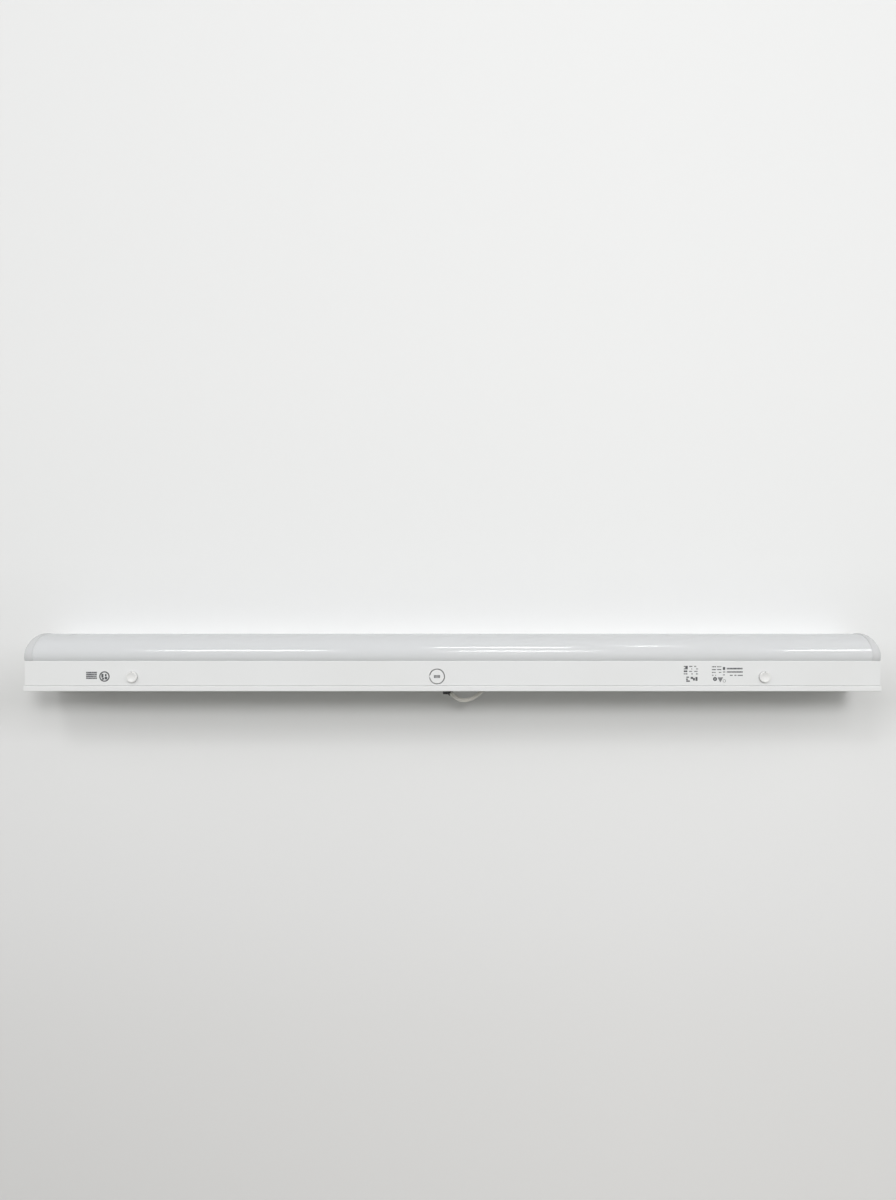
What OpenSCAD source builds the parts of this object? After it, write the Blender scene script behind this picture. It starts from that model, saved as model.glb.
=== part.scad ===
// Surface-mount LED strip batten: a shallow mounting channel, a gear tray held on
// it by four quarter-turn latches, two LED boards and a snap-in diffuser.
// Origin: centre of the mounting face. +X along the batten, +Z out of the lens,
// -Y the side with the knockout.

/* [Overall] */
// Length over the gear tray's end plates
tray_len = 1219.2; // [1010:0.1:1470]
// Width over the gear tray's side walls
tray_w = 108; // [88:0.5:131]
// Height from the mounting face to the top edge of the side walls
side_h = 43.2; // [40:0.1:53]
// Height of the diffuser above the side walls
lens_rise = 36.8; // [28:0.1:46]

/* [Sheet metal] */
// Thickness of the folded steel
sheet = 0.8; // [0.6:0.05:1.2]
// Height of the mounting channel's outer lip
lip_h = 7.8; // [5:0.1:9]
// How far the lip stands proud of the gear tray
lip_out = 1.2; // [0.8:0.1:2]
// Height of the locating flange above the lip
flange_h = 6.2; // [4:0.1:9]
// Depth of the trough that the diffuser stands in
trough_depth = 6; // [5:0.1:8]
// Outside radius of a fold
fold_r = 1; // [0.8:0.1:1.4]
// Clearance between pieces that slip over each other
slip = 0.3; // [0.2:0.05:0.5]

/* [Diffuser] */
// Wall of the extruded diffuser
lens_wall = 1.8; // [1.2:0.1:2.4]
// Height of the tucked-in foot above the side walls
tuck_h = 7; // [4:0.5:10]
// Width of the inward rib along each leg
rib_w = 5; // [3:0.5:8]

/* [End caps] */
// How much of the diffuser a cap covers
cap_skirt = 11; // [6:0.5:20]
// Wall of the skirt, proud of the diffuser
cap_skin = 0.7; // [0.5:0.1:1.2]
// Thickness of the end wall
cap_wall = 1.9; // [1.2:0.1:3]
// Radius that rounds the cap's end over at the crown
cap_round = 9.5; // [6:0.5:12]
// Distance between the two screws of a cap
cap_screw_gap = 60; // [40:1:72]

/* [Latches] */
// Distance of the left latches from the tray's end
latch_inset_left = 153; // [100:1:185]
// Distance of the right latches from the tray's end
latch_inset_right = 165; // [100:1:200]
// Gap between the locating flange's top and a latch's washer
latch_rise = 0.4; // [0.2:0.1:2]
// Diameter of the latch head
latch_head_d = 16; // [13:0.5:19.5]
// Height of the latch head
latch_head_h = 4; // [3:0.1:5]
// Diameter of the latch shaft
latch_shaft_d = 8; // [7:0.1:9.6]
// Width of the shaft across its two flats
latch_flats = 5; // [4:0.1:6]
// Distance from the tray wall's inner face to the keeper
keeper_setback = 6; // [4:0.5:8]

/* [Knockouts] */
// Diameter of a pry-out knockout
knockout_d = 22.2; // [18:0.1:26.7]
// Width of the slit round a knockout
knockout_slit = 1.1; // [0.5:0.1:1.2]
// Place of the front knockout along the tray
front_knockout_x = -22; // [-60:1:60]
// Height of the front knockout's centre
front_knockout_z = 21; // [20:0.5:24]

/* [Mounting] */
// Distance between the two ceiling screw holes
mount_spacing = 914.4; // [762:0.1:1000]
// Diameter of a ceiling screw hole
mount_hole_d = 7.1; // [5:0.1:8.6]

/* [LED boards] */
// Distance of a board's outer end from the tray's end
board_margin = 44.6; // [20:0.1:60]
// Gap between the two boards
board_gap = 10; // [4:0.5:20]
// Width of an LED board
board_w = 24; // [18:0.5:30]
// Thickness of an LED board
board_t = 1.6; // [1:0.1:2]
// LED packages on one board
led_count = 24; // [12:1:30]

/* [Driver] */
// Length of the driver's case
driver_len = 240; // [180:1:290]
// Width of the driver's case
driver_w = 43; // [35:0.5:52]
// Height of the driver's case
driver_h = 27; // [24:0.5:28]
// Distance of the driver's near end from the middle of the batten
driver_x = 110; // [105:1:125]

/* [Supply cord] */
// Diameter of the supply cord
cord_d = 5.5; // [5:0.1:5.6]

/* [Hidden] */
$fn = 48;

eps = 0.01;
run_clearance = 0.05;  // radial, of a shaft in its hole

// Gear tray
half_len = tray_len / 2;
half_w = tray_w / 2;
tray_bottom = lip_h + slip;
shelf_top = side_h - trough_depth;
shelf_bottom = shelf_top - sheet;
wall_in = half_w - sheet;
hem_in = half_w - 2 * sheet;
body_half_len = half_len - sheet;

// Mounting channel
lip_half_w = half_w + lip_out;
lip_half_len = half_len + lip_out;
flange_half_w = wall_in - slip;
flange_half_len = body_half_len - slip;
flange_top = lip_h + flange_h;
floor_half_w = flange_half_w - sheet;
floor_half_len = flange_half_len - sheet;
nut_d = knockout_d + 7;  // nut of a conduit fitting in a knockout

// Diffuser
lens_leg = hem_in - 0.2;
lens_stop = 0.58 * cap_round; // how far inside its cap the diffuser ends
lens_half_len = body_half_len - 0.2 - lens_stop;
tuck_z = side_h + tuck_h;
tuck_in = half_w - lens_leg;
dome_h = lens_rise - tuck_h;
rib_t = 1.2;

// End caps
cap_gap = 0.1;
cap_bottom = side_h + cap_gap;
cap_in_x = half_len + cap_gap;
cap_out_x = cap_in_x + cap_wall;
cap_screw_z = shelf_top + trough_depth * 0.45;
cap_screw_d = 2.9;

// Latches
washer_t = 0.6;
washer_d = latch_shaft_d + 4;
latch_z = flange_top + washer_d / 2 + latch_rise;
head_gap = 0.1;  // between a latch's head and the side wall
latch_left_x = -half_len + latch_inset_left;
latch_right_x = half_len - latch_inset_right;
keeper_y = wall_in - keeper_setback;
keeper_t = 1.2;
keeper_w = 30;
keeper_top = latch_z + latch_shaft_d + 1.6;
keeper_foot = 13;
rivet_gap = 18;
rivet_d = 4;
latch_reach = keeper_setback + 3.1;

// LED boards
board_len = half_len - board_margin - board_gap / 2;
board_x = board_gap / 2 + board_len / 2;
board_top = shelf_top + board_t;
led_pitch = board_len / led_count;
led_y = -4;
board_screw_y = 8;
board_screw_pitch = board_len * 0.22;

// Driver
driver_mid_x = driver_x + driver_len / 2;
driver_far_x = driver_x + driver_len;
driver_ear = 14;
case_top = sheet + driver_h;
lid_top = case_top + sheet;
lid_skirt = 5;
lid_gap = 0.1;
pcb_z = 2 * sheet + 4;
pcb_t = 1.6;
pcb_top = pcb_z + pcb_t;
terminal_h = 9;
terminal_len = 14;
terminal_w = 11.4;
terminal_mid_y = 7;
terminal_hole_z = 4.5;
terminal_setback = 1.2;
selector_x = driver_mid_x - 40;
selector_h = 4;
selector_gap = 8;
selector_slot = 9;
slider_len = 3.4;
slider_w = 2.8;

// Grommet that the output leads rise through, and the places they join
grommet_x = driver_far_x + 34;
grommet_y = 22;
grommet_d = 14;
feed_x = grommet_x;

// Supply entry
relief_x = -8;
relief_y = 19;
relief_d = 14;
relief_drop = 11;
bushing_x = 49.5;
bushing_y = -5.5;
disconnect_y = 30;
disconnect_w = 12;
disconnect_h = 9;
plug_x = 34;
plug_len = 20;
socket_len = 24;
ground_x = -36;
ground_y = 28;
lead_d = 2.2;
relief_bore = 6.2;

// Centreline of the supply cord: out of the strain relief's nose, down in a
// shallow loop below the mounting face and up through the open bushing, where
// its end is tucked back along the channel floor.
cord_route = [
    [-2, 13.5, -9.5], [3, 9.5, -14], [9, 5, -17.5], [15.5, 1, -19], [22.5, -1.5, -18],
    [29, -3, -15.5], [35, -4, -12], [40.5, -4.5, -7.5], [45, -5, -3], [50, -5.5, 1.5],
    [55.5, -6, 5.5], [62, -6, 8], [69, -6, 8.5], [76, -6, 7], [83, -6, 5], [90, -6, 4],
];
cord_start = cord_route[0];
cord_end = cord_route[len(cord_route) - 1];

// ---------- helpers ----------

function unit(v) = v / norm(v);

function terminal_y(k) = terminal_mid_y - 2 + 4 * k;

function arc(cx, cy, r, from, to, steps = 6) =
    [for (i = [0 : steps]) let (a = from + (to - from) * i / steps) [cx + r * cos(a), cy + r * sin(a)]];

function reversed(points) = [for (i = [len(points) - 1 : -1 : 0]) points[i]];

function mirrored(points) = [for (p = reversed(points)) [-p[0], p[1]]];

// Direction of a path at one of its points
function heading(path, i) =
    unit(path[min(i + 1, len(path) - 1)] - path[max(i - 1, 0)]);

// A smooth curve through a few points, cut into steps between each pair
function between(a, b, c, d, t) =
    0.5 * (2 * b + (c - a) * t + (2 * a - 5 * b + 4 * c - d) * t * t
        + (3 * b - a - 3 * c + d) * t * t * t);
function smooth_path(p, steps) = [
    for (i = [0 : len(p) - 2], k = [0 : steps - 1])
        between(p[max(i - 1, 0)], p[i], p[i + 1], p[min(i + 2, len(p) - 1)], k / steps),
    p[len(p) - 1],
];

// A lead: straight at both ends and smooth between
function lead_path(p, steps = 4) = concat(
    [p[0]], smooth_path([for (i = [1 : len(p) - 2]) p[i]], steps), [p[len(p) - 1]]
);

function tube_points(path, r, sides, up) = [
    for (i = [0 : len(path) - 1])
        let (t = heading(path, i), u = unit(cross(up, t)), v = cross(t, u))
        for (k = [0 : sides - 1])
            path[i] + r * (cos(360 * k / sides) * u + sin(360 * k / sides) * v),
];

module tube(path, d, sides = 8, up = [0, 0.2, 1]) {
    rings = len(path);
    polyhedron(
        points = tube_points(path, d / 2, sides, up),
        faces = concat(
            [[for (k = [sides - 1 : -1 : 0]) k]],
            [for (i = [0 : rings - 2], k = [0 : sides - 1])
                let (a = i * sides + k, b = i * sides + (k + 1) % sides)
                each [[a, b, b + sides], [a, b + sides, a + sides]]],
            [[for (k = [0 : sides - 1]) (rings - 1) * sides + k]]
        )
    );
}

// Extrudes a (y, z) outline along X, centred
module along_x(length) {
    rotate([90, 0, 90]) linear_extrude(height = length, center = true) children();
}

module at_each(places) {
    for (p = places) translate(p) children();
}

// A box centred in X and Y, standing on its base
module block(size) {
    translate([-size[0] / 2, -size[1] / 2, 0]) cube(size);
}

module screw(head_d, head_h, shank_d, shank_len) {
    cylinder(d = head_d, h = head_h);
    translate([0, 0, -shank_len]) cylinder(d = shank_d, h = shank_len + eps);
}

// The slit round a knockout, all the way through the sheet but for one tie
module knockout_cut() {
    difference() {
        translate([0, 0, -sheet]) cylinder(d = knockout_d, h = 3 * sheet, $fn = 64);
        translate([0, 0, -2 * sheet]) cylinder(d = knockout_d - 2 * knockout_slit, h = 5 * sheet, $fn = 64);
        translate([-knockout_d, -1.2, -2 * sheet]) cube([knockout_d, 2.4, 5 * sheet]);
    }
}

// ---------- mounting channel and what is fixed to it ----------

function lip_outline(half, h, r) = concat(
    arc(half - r, r, r, -90, 0), arc(half - r, h - r, r, 0, 90),
    mirrored(concat(arc(half - r, r, r, -90, 0), arc(half - r, h - r, r, 0, 90)))
);

mount_holes = [[-mount_spacing / 2, 0, 0], [mount_spacing / 2, 0, 0]];
keeper_places = [for (x = [latch_left_x, latch_right_x], side = [-1, 1]) [x, side]];
driver_screw_places = [
    for (x = [driver_x - driver_ear / 2, driver_far_x + driver_ear / 2]) [x, 0, 2 * sheet],
];
floor_knockouts = [[-150, 0, 0], [-300, 0, 0]];

module mounting_channel() {
    color("white") difference() {
        block([2 * floor_half_len, 2 * floor_half_w, sheet]);
        at_each(mount_holes) translate([0, 0, -1]) cylinder(d = mount_hole_d, h = sheet + 2);
        at_each(floor_knockouts) knockout_cut();
        translate([relief_x, relief_y, -1]) cylinder(d = relief_d - 1.4 + 2 * run_clearance, h = sheet + 2);
        translate([bushing_x, bushing_y, -1]) cylinder(d = knockout_d, h = sheet + 2);
        at_each(driver_screw_places) translate([0, 0, -3]) cylinder(d = 3.4, h = 5);
        translate([ground_x, ground_y, -1]) cylinder(d = 3.6, h = sheet + 2);
        for (k = keeper_places, dx = [-rivet_gap / 2, rivet_gap / 2])
            translate([k[0] + dx, k[1] * (keeper_y - keeper_foot / 2), -1])
                cylinder(d = rivet_d + 2 * run_clearance, h = sheet + 2);
    }
}

// The hollow lip round the floor, with the tray's locating flange on it
module channel_rim() {
    difference() {
        union() {
            intersection() {
                along_x(2 * lip_half_len) polygon(lip_outline(lip_half_w, lip_h, fold_r));
                rotate([0, 0, 90]) along_x(2 * lip_half_w)
                    polygon(lip_outline(lip_half_len, lip_h, fold_r));
            }
            translate([0, 0, lip_h - sheet]) block([2 * flange_half_len, 2 * flange_half_w, flange_h + sheet]);
        }
        translate([0, 0, sheet])
            block([2 * (lip_half_len - sheet), 2 * (lip_half_w - sheet), lip_h - 2 * sheet]);
        translate([0, 0, -1]) block([2 * floor_half_len, 2 * floor_half_w, flange_top + 2]);
    }
}

// The rim is four rails welded to the floor's edges. The flange is notched where
// a fitting's nut goes in a knockout of the tray.
module long_rail(side) {
    color("white") difference() {
        intersection() {
            channel_rim();
            translate([0, side * (floor_half_w + half_w), -1]) block([3 * half_len, 2 * half_w, side_h]);
        }
        translate([front_knockout_x, -flange_half_w, lip_h]) block([nut_d, 4 * sheet, side_h]);
    }
}
module short_rail(side) {
    color("white") difference() {
        intersection() {
            channel_rim();
            translate([side * (floor_half_len + half_w), 0, -1])
                block([2 * half_w, 2 * floor_half_w, side_h]);
        }
        translate([side * flange_half_len, 0, lip_h]) block([4 * sheet, nut_d, side_h]);
    }
}
module rail_front() { long_rail(-1); }
module rail_rear() { long_rail(1); }
module rail_left() { short_rail(-1); }
module rail_right() { short_rail(1); }

// An angle whose upright has a round seat with a narrow mouth above it
module keeper() {
    difference() {
        union() {
            translate([0, -keeper_t / 2, sheet]) block([keeper_w, keeper_t, keeper_top - sheet]);
            translate([0, keeper_foot / 2 - keeper_t / 2, sheet]) block([keeper_w, keeper_foot, keeper_t]);
        }
        translate([0, 0, latch_z]) rotate([90, 0, 0])
            cylinder(d = latch_shaft_d + 2 * run_clearance, h = 4 * keeper_t, center = true);
        translate([0, 0, latch_z]) block([latch_flats + 0.4, 4 * keeper_t, keeper_top]);
        for (dx = [-rivet_gap / 2, rivet_gap / 2])
            translate([dx, keeper_foot / 2, 0]) cylinder(d = rivet_d + 2 * run_clearance, h = 6);
    }
}

module latch_keepers() {
    color("silver") for (k = keeper_places)
        translate([k[0], k[1] * keeper_y, 0]) rotate([0, 0, k[1] > 0 ? 180 : 0]) keeper();
}

module keeper_rivets() {
    color("gray") for (k = keeper_places, dx = [-rivet_gap / 2, rivet_gap / 2])
        translate([k[0] + dx, k[1] * (keeper_y - keeper_foot / 2), sheet + keeper_t])
            screw(head_d = 6.5, head_h = 1.3, shank_d = rivet_d, shank_len = sheet + keeper_t);
}

// ---------- supply entry ----------

// A right-angle cord grip: a flange under the face, a body and a nose that
// points along the cord
module strain_relief() {
    along = heading(cord_route, 0);
    color("black") difference() {
        union() {
            translate([relief_x, relief_y, -1.5]) cylinder(d = relief_d + 3, h = 1.5);
            translate([relief_x, relief_y, -relief_drop]) cylinder(d = relief_d - 2, h = relief_drop);
            translate([relief_x, relief_y, -eps]) cylinder(d = relief_d - 1.4, h = 8);
            translate([relief_x, relief_y, sheet + 0.1]) cylinder(d = relief_d, h = 2.2);
            point_along(cord_start, along) translate([0, 0, -9]) cylinder(d = cord_d + 3, h = 9);
        }
        translate([relief_x, relief_y, 4]) cylinder(d = relief_bore, h = 6);
    }
}

// Turns +Z to a direction, at a point
module point_along(place, direction) {
    translate(place)
        rotate([0, acos(direction[2]), atan2(direction[1], direction[0])]) children();
}

module snap_bushing() {
    color("black") translate([bushing_x, bushing_y, 0]) difference() {
        union() {
            translate([0, 0, -1.5]) cylinder(d = knockout_d + 4, h = 1.5);
            translate([0, 0, -eps]) cylinder(d = knockout_d - 2 * run_clearance, h = sheet + eps);
            translate([0, 0, sheet + 0.05]) cylinder(d = knockout_d + 1.2, h = 1.4);
            cylinder(d = knockout_d - 1.2, h = 3.2);
        }
        translate([0, 0, -3]) cylinder(d = knockout_d - 5.6, h = 9);
    }
}

module supply_cord() {
    color("lightgray") tube(cord_route, cord_d);
}

// Three stripped conductors fan out of the tucked end of the cord
module cord_tail_leads() {
    color("dimgray") for (k = [-1 : 1])
        tube([
            cord_end + [0.05, k * 1.6, -0.2], cord_end + [2, k * 1.7, -0.3],
            cord_end + [4, k * 2.1, -0.7], cord_end + [6, k * 2.6, -1],
        ], 1.3, 8);
}

disconnect_mid_z = sheet + disconnect_h / 2;
function lead_y(k) = disconnect_y - 2 + 4 * k;
supply_lead_paths = [
    for (k = [0, 1]) lead_path([
        [relief_x + 1.3 - 1.4 * k, relief_y - 0.8 + 2.4 * k, 5],
        [relief_x + 1.3 - 1.4 * k, relief_y - 0.8 + 2.4 * k, 9],
        [relief_x + 4, relief_y - 0.5 + 3.5 * k, 13], [relief_x + 14, relief_y + 5 + 4 * k, 14],
        [plug_x - 10, lead_y(k), 8], [plug_x - 4, lead_y(k), disconnect_mid_z],
        [plug_x, lead_y(k), disconnect_mid_z],
    ]),
];
lug_lead_z = 2.2;
ground_lead_path = lead_path([
    [relief_x - 1.6, relief_y - 0.8, 5], [relief_x - 1.6, relief_y - 0.8, 9],
    [relief_x - 6, relief_y + 1, 12], [relief_x - 12, relief_y + 6, 9],
    [ground_x + 13, ground_y, lug_lead_z + 1], [ground_x + 11.5, ground_y, lug_lead_z],
    [ground_x + 7, ground_y, lug_lead_z],
]);

module supply_leads() {
    for (k = [0, 1]) color(["black", "whitesmoke"][k]) tube(supply_lead_paths[k], lead_d, 8, [0.1, 1, 0]);
    color("green") tube(ground_lead_path, lead_d * 0.8, 8, [0.1, 1, 0]);
}

module disconnect_plug() {
    color("whitesmoke") translate([plug_x, disconnect_y, sheet]) {
        translate([plug_len / 2, 0, 0]) block([plug_len, disconnect_w, disconnect_h]);
        translate([plug_len / 2, 0, disconnect_h]) block([8, 4, 1.2]);
    }
}

module disconnect_socket() {
    color("ivory") translate([plug_x + plug_len + socket_len / 2, disconnect_y, sheet]) difference() {
        block([socket_len, disconnect_w + 2, disconnect_h + 1]);
        translate([0, 0, disconnect_h]) block([10, 5, 3]);
    }
}

module driver_leads() {
    out_x = plug_x + plug_len + socket_len;
    for (k = [0, 1]) color(["black", "whitesmoke"][k])
        tube(lead_path([
            [out_x, lead_y(k), disconnect_mid_z], [out_x + 5, lead_y(k), disconnect_mid_z],
            [out_x + 14, (lead_y(k) + terminal_y(k)) / 2 + 2, pcb_top + 3],
            [driver_x - 6, terminal_y(k), pcb_top + terminal_hole_z],
            [driver_x + sheet + terminal_setback, terminal_y(k), pcb_top + terminal_hole_z],
        ]), lead_d, 8);
}

module ground_lug() {
    color("goldenrod") difference() {
        union() {
            translate([ground_x, ground_y, sheet]) cylinder(d = 9, h = sheet);
            translate([ground_x + 6, ground_y, sheet]) block([6, 3.6, sheet]);
            translate([ground_x + 8.6, ground_y, sheet]) block([5, 3.4, 2.8]);
        }
        translate([ground_x, ground_y, 0]) cylinder(d = 3.6, h = 6);
        translate([ground_x + 6.5, ground_y, 2.2]) rotate([0, 90, 0]) cylinder(d = 2, h = 8);
    }
}

module ground_screw() {
    color("seagreen") translate([ground_x, ground_y, 2 * sheet]) {
        cylinder(d = 8, h = 3, $fn = 6);
        translate([0, 0, -2 * sheet]) cylinder(d = 3.5, h = 2 * sheet + eps);
    }
}

// ---------- driver ----------

module driver_case() {
    color("gainsboro") difference() {
        union() {
            translate([driver_mid_x, 0, sheet]) difference() {
                block([driver_len, driver_w, driver_h]);
                translate([0, 0, sheet]) block([driver_len - 2 * sheet, driver_w - 2 * sheet, driver_h]);
            }
            translate([driver_mid_x, 0, sheet]) block([driver_len + 2 * driver_ear, driver_w * 0.6, sheet]);
        }
        at_each(driver_screw_places) translate([0, 0, -2]) cylinder(d = 4.3, h = 4);
        for (x = [driver_x, driver_far_x])
            translate([x, terminal_mid_y, pcb_top - 0.2]) block([4 * sheet, terminal_w + 0.6, terminal_h + 0.4]);
    }
}

module driver_lid() {
    color("gainsboro") translate([driver_mid_x, 0, 0]) difference() {
        translate([0, 0, case_top - lid_skirt])
            block([driver_len, driver_w + 2 * (sheet + lid_gap), lid_skirt + sheet]);
        translate([0, 0, case_top - lid_skirt - 1])
            block([driver_len + 2, driver_w + 2 * lid_gap, lid_skirt + 1]);
        for (side = [-1, 1], x = [-1, 1] * driver_len * 0.4)
            translate([x, side * driver_w / 2, case_top - lid_skirt / 2]) rotate([90, 0, 0])
                cylinder(d = 2.6, h = 8, center = true);
    }
}

module lid_screws() {
    color("silver") for (side = [-1, 1], x = [-1, 1] * driver_len * 0.4)
        translate([driver_mid_x + x, side * (driver_w / 2 + sheet + lid_gap), case_top - lid_skirt / 2])
            rotate([-90 * side, 0, 0]) screw(head_d = 4.6, head_h = 1.2, shank_d = 2.5, shank_len = sheet + lid_gap);
}

module driver_board() {
    color("darkgreen") translate([driver_mid_x, 0, pcb_z])
        block([driver_len - 2 * sheet - 2, driver_w - 2 * sheet - 1.4, pcb_t]);
}

module driver_standoffs() {
    color("white") for (x = [-1, 1] * driver_len * 0.42, y = [-1, 1] * driver_w * 0.35)
        translate([driver_mid_x + x, y, 2 * sheet]) cylinder(d = 5, h = pcb_z - 2 * sheet);
}

module driver_transformer() {
    translate([driver_mid_x + 25, 0, pcb_top]) {
        color("dimgray") difference() {
            block([24, 26, 15]);
            translate([0, 0, 3]) block([16, 40, 9]);
        }
        color("goldenrod") translate([0, 0, 3.1]) block([15.8, 22, 8.8]);
    }
}

module driver_capacitors() {
    color("midnightblue") {
        translate([driver_mid_x - 28, 5, pcb_top]) cylinder(d = 13, h = 14);
        translate([driver_mid_x - 28, -9, pcb_top]) cylinder(d = 10, h = 13);
        translate([driver_mid_x + 62, 6, pcb_top]) cylinder(d = 12.5, h = 14);
        translate([driver_mid_x + 62, -8, pcb_top]) cylinder(d = 10, h = 12);
    }
    color("firebrick") translate([driver_mid_x - 80, -6, pcb_top]) block([15, 6, 11]);
}

module driver_coils() {
    color("peru") translate([driver_mid_x - 58, 6, pcb_top]) difference() {
        cylinder(d = 16, h = 9);
        translate([0, 0, -1]) cylinder(d = 7, h = 11);
    }
    color("black") translate([driver_mid_x - 5, -4, pcb_top]) block([12, 18, 11]);
}

module terminal(x) {
    color("whitesmoke") translate([x, terminal_mid_y, pcb_top]) difference() {
        block([terminal_len, terminal_w, terminal_h]);
        for (k = [0, 1])
            translate([0, terminal_y(k) - terminal_mid_y, terminal_h - 1]) block([3, 2.4, 2]);
    }
}
module input_terminal() { terminal(driver_x + sheet + terminal_setback + terminal_len / 2); }
module output_terminal() { terminal(driver_far_x - sheet - terminal_setback - terminal_len / 2); }

module driver_screws() {
    color("silver") at_each(driver_screw_places)
        screw(head_d = 8, head_h = 2.4, shank_d = 3.3, shank_len = 2 * sheet);
}

// Two slide switches side by side on the driver's lid
selector_places = [[selector_x, -selector_gap / 2, lid_top], [selector_x, selector_gap / 2, lid_top]];

module selector_body() {
    color("dimgray") difference() {
        translate([selector_x, 0, lid_top]) block([20, 2 * selector_gap, selector_h]);
        at_each(selector_places) translate([0, 0, 1]) block([selector_slot, slider_w + 0.2, selector_h]);
    }
}

module selector(place) {
    color("white") translate(place + [0, 0, 1.1]) block([slider_len, slider_w, selector_h]);
}
module lumen_selector() { selector(selector_places[0]); }
module cct_selector() { selector(selector_places[1]); }

// ---------- gear tray and what rides on it ----------

function tray_side() = concat(
    [[half_w, tray_bottom]],
    arc(half_w - sheet, side_h - sheet, sheet, 0, 180, 8),
    [[hem_in, shelf_top]]
);

latch_places = [for (x = [latch_left_x, latch_right_x], side = [-1, 1]) [x, side * half_w, latch_z]];
board_screw_places = [
    for (b = [-board_x, board_x], k = [-2 : 2]) [b + k * board_screw_pitch, board_screw_y, board_top],
];

// The shelf that the boards are screwed to, welded between the two sides
module gear_tray() {
    color("white") difference() {
        translate([0, 0, shelf_bottom]) block([2 * body_half_len, 2 * hem_in, sheet]);
        translate([grommet_x, grommet_y, shelf_bottom - 1]) cylinder(d = grommet_d, h = sheet + 2);
        at_each(board_screw_places) translate([0, 0, -board_t - sheet - 1]) cylinder(d = 3, h = 5);
    }
}

// A side wall, folded over at the top and back down to the shelf
module tray_side_sheet(side) {
    outline = concat(tray_side(), [[hem_in, shelf_bottom], [wall_in, shelf_bottom], [wall_in, tray_bottom]]);
    color("white") difference() {
        along_x(2 * body_half_len) polygon(side > 0 ? outline : mirrored(outline));
        at_each(latch_places) rotate([90, 0, 0])
            cylinder(d = latch_shaft_d + 2 * run_clearance, h = 6 * sheet, center = true);
        translate([front_knockout_x, -wall_in, front_knockout_z]) rotate([90, 0, 0]) knockout_cut();
    }
}
module tray_side_front() { tray_side_sheet(-1); }
module tray_side_rear() { tray_side_sheet(1); }

// Closes the tray; its two side flanges are welded inside the walls
module end_plate(side) {
    flange_len = 10;
    flange_bottom = flange_top + 1;
    translate([side * (half_len - sheet / 2), 0, 0]) difference() {
        along_x(sheet) polygon(concat(
            [[half_w, tray_bottom]], arc(half_w - sheet, side_h - sheet, sheet, 0, 90),
            mirrored(concat([[half_w, tray_bottom]], arc(half_w - sheet, side_h - sheet, sheet, 0, 90)))
        ));
        for (y = [-1, 1] * cap_screw_gap / 2)
            translate([0, y, cap_screw_z]) rotate([0, 90, 0]) cylinder(d = 3.2, h = 4 * sheet, center = true);
        translate([-sheet / 2, 0, front_knockout_z]) rotate([90, 0, 90]) knockout_cut();
    }
    for (y = [-1, 1])
        translate([side * (half_len - sheet - flange_len / 2), y * (wall_in - sheet / 2), flange_bottom])
            block([flange_len + 2 * eps, sheet, shelf_bottom - flange_bottom - 1]);
}
module end_plate_left() { color("white") end_plate(-1); }
module end_plate_right() { color("white") end_plate(1); }

module lead_grommet() {
    color("black") translate([grommet_x, grommet_y, shelf_bottom - 1.4]) difference() {
        union() {
            cylinder(d = grommet_d + 4, h = 1.4);
            cylinder(d = grommet_d, h = sheet + 2.8);
            translate([0, 0, sheet + 1.4]) cylinder(d = grommet_d + 4, h = 1.4);
        }
        translate([0, 0, -1]) cylinder(d = grommet_d - 4, h = 8);
    }
}

module latch_washers() {
    color("gray") for (x = [latch_left_x, latch_right_x], side = [-1, 1])
        translate([x, side * (wall_in - washer_t / 2), latch_z]) rotate([90, 0, 0]) difference() {
            cylinder(d = washer_d, h = washer_t, center = true);
            cylinder(d = latch_shaft_d + 2 * run_clearance, h = 3 * washer_t, center = true);
        }
}

module led_board(side) {
    color("white") difference() {
        translate([side * board_x, 0, shelf_top]) block([board_len, board_w, board_t]);
        at_each(board_screw_places) translate([0, 0, -board_t - 1]) cylinder(d = 3.2, h = 5);
    }
}
module led_board_left() { led_board(-1); }
module led_board_right() { led_board(1); }

module leds(side) {
    color("khaki") for (i = [0 : led_count - 1])
        translate([side * board_x + (i - (led_count - 1) / 2) * led_pitch, led_y, board_top])
            block([3.5, 2.8, 0.7]);
}
module leds_left() { leds(-1); }
module leds_right() { leds(1); }

module board_screws() {
    color("silver") at_each(board_screw_places)
        screw(head_d = 5.4, head_h = 1.8, shank_d = 2.9, shank_len = board_t + sheet);
}

link_y = 5;
module board_connectors() {
    color("whitesmoke") {
        for (side = [-1, 1]) translate([side * 13, link_y, board_top]) block([7, 6, 3.4]);
        translate([feed_x, link_y, board_top]) block([8, 6, 3.4]);
    }
}

module link_leads() {
    for (k = [-1, 1]) color(k < 0 ? "black" : "red")
        tube([
            [-9.5, link_y + 1.4 * k, board_top + 1.7], [-7.5, link_y + 1.4 * k, board_top + 1.7],
            [-4, link_y + 1.4 * k, board_top + 2.4], [0, link_y + 1.4 * k, board_top + 2.8],
            [4, link_y + 1.4 * k, board_top + 2.4], [7.5, link_y + 1.4 * k, board_top + 1.7],
            [9.5, link_y + 1.4 * k, board_top + 1.7],
        ], 1.6, 8);
}

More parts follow.
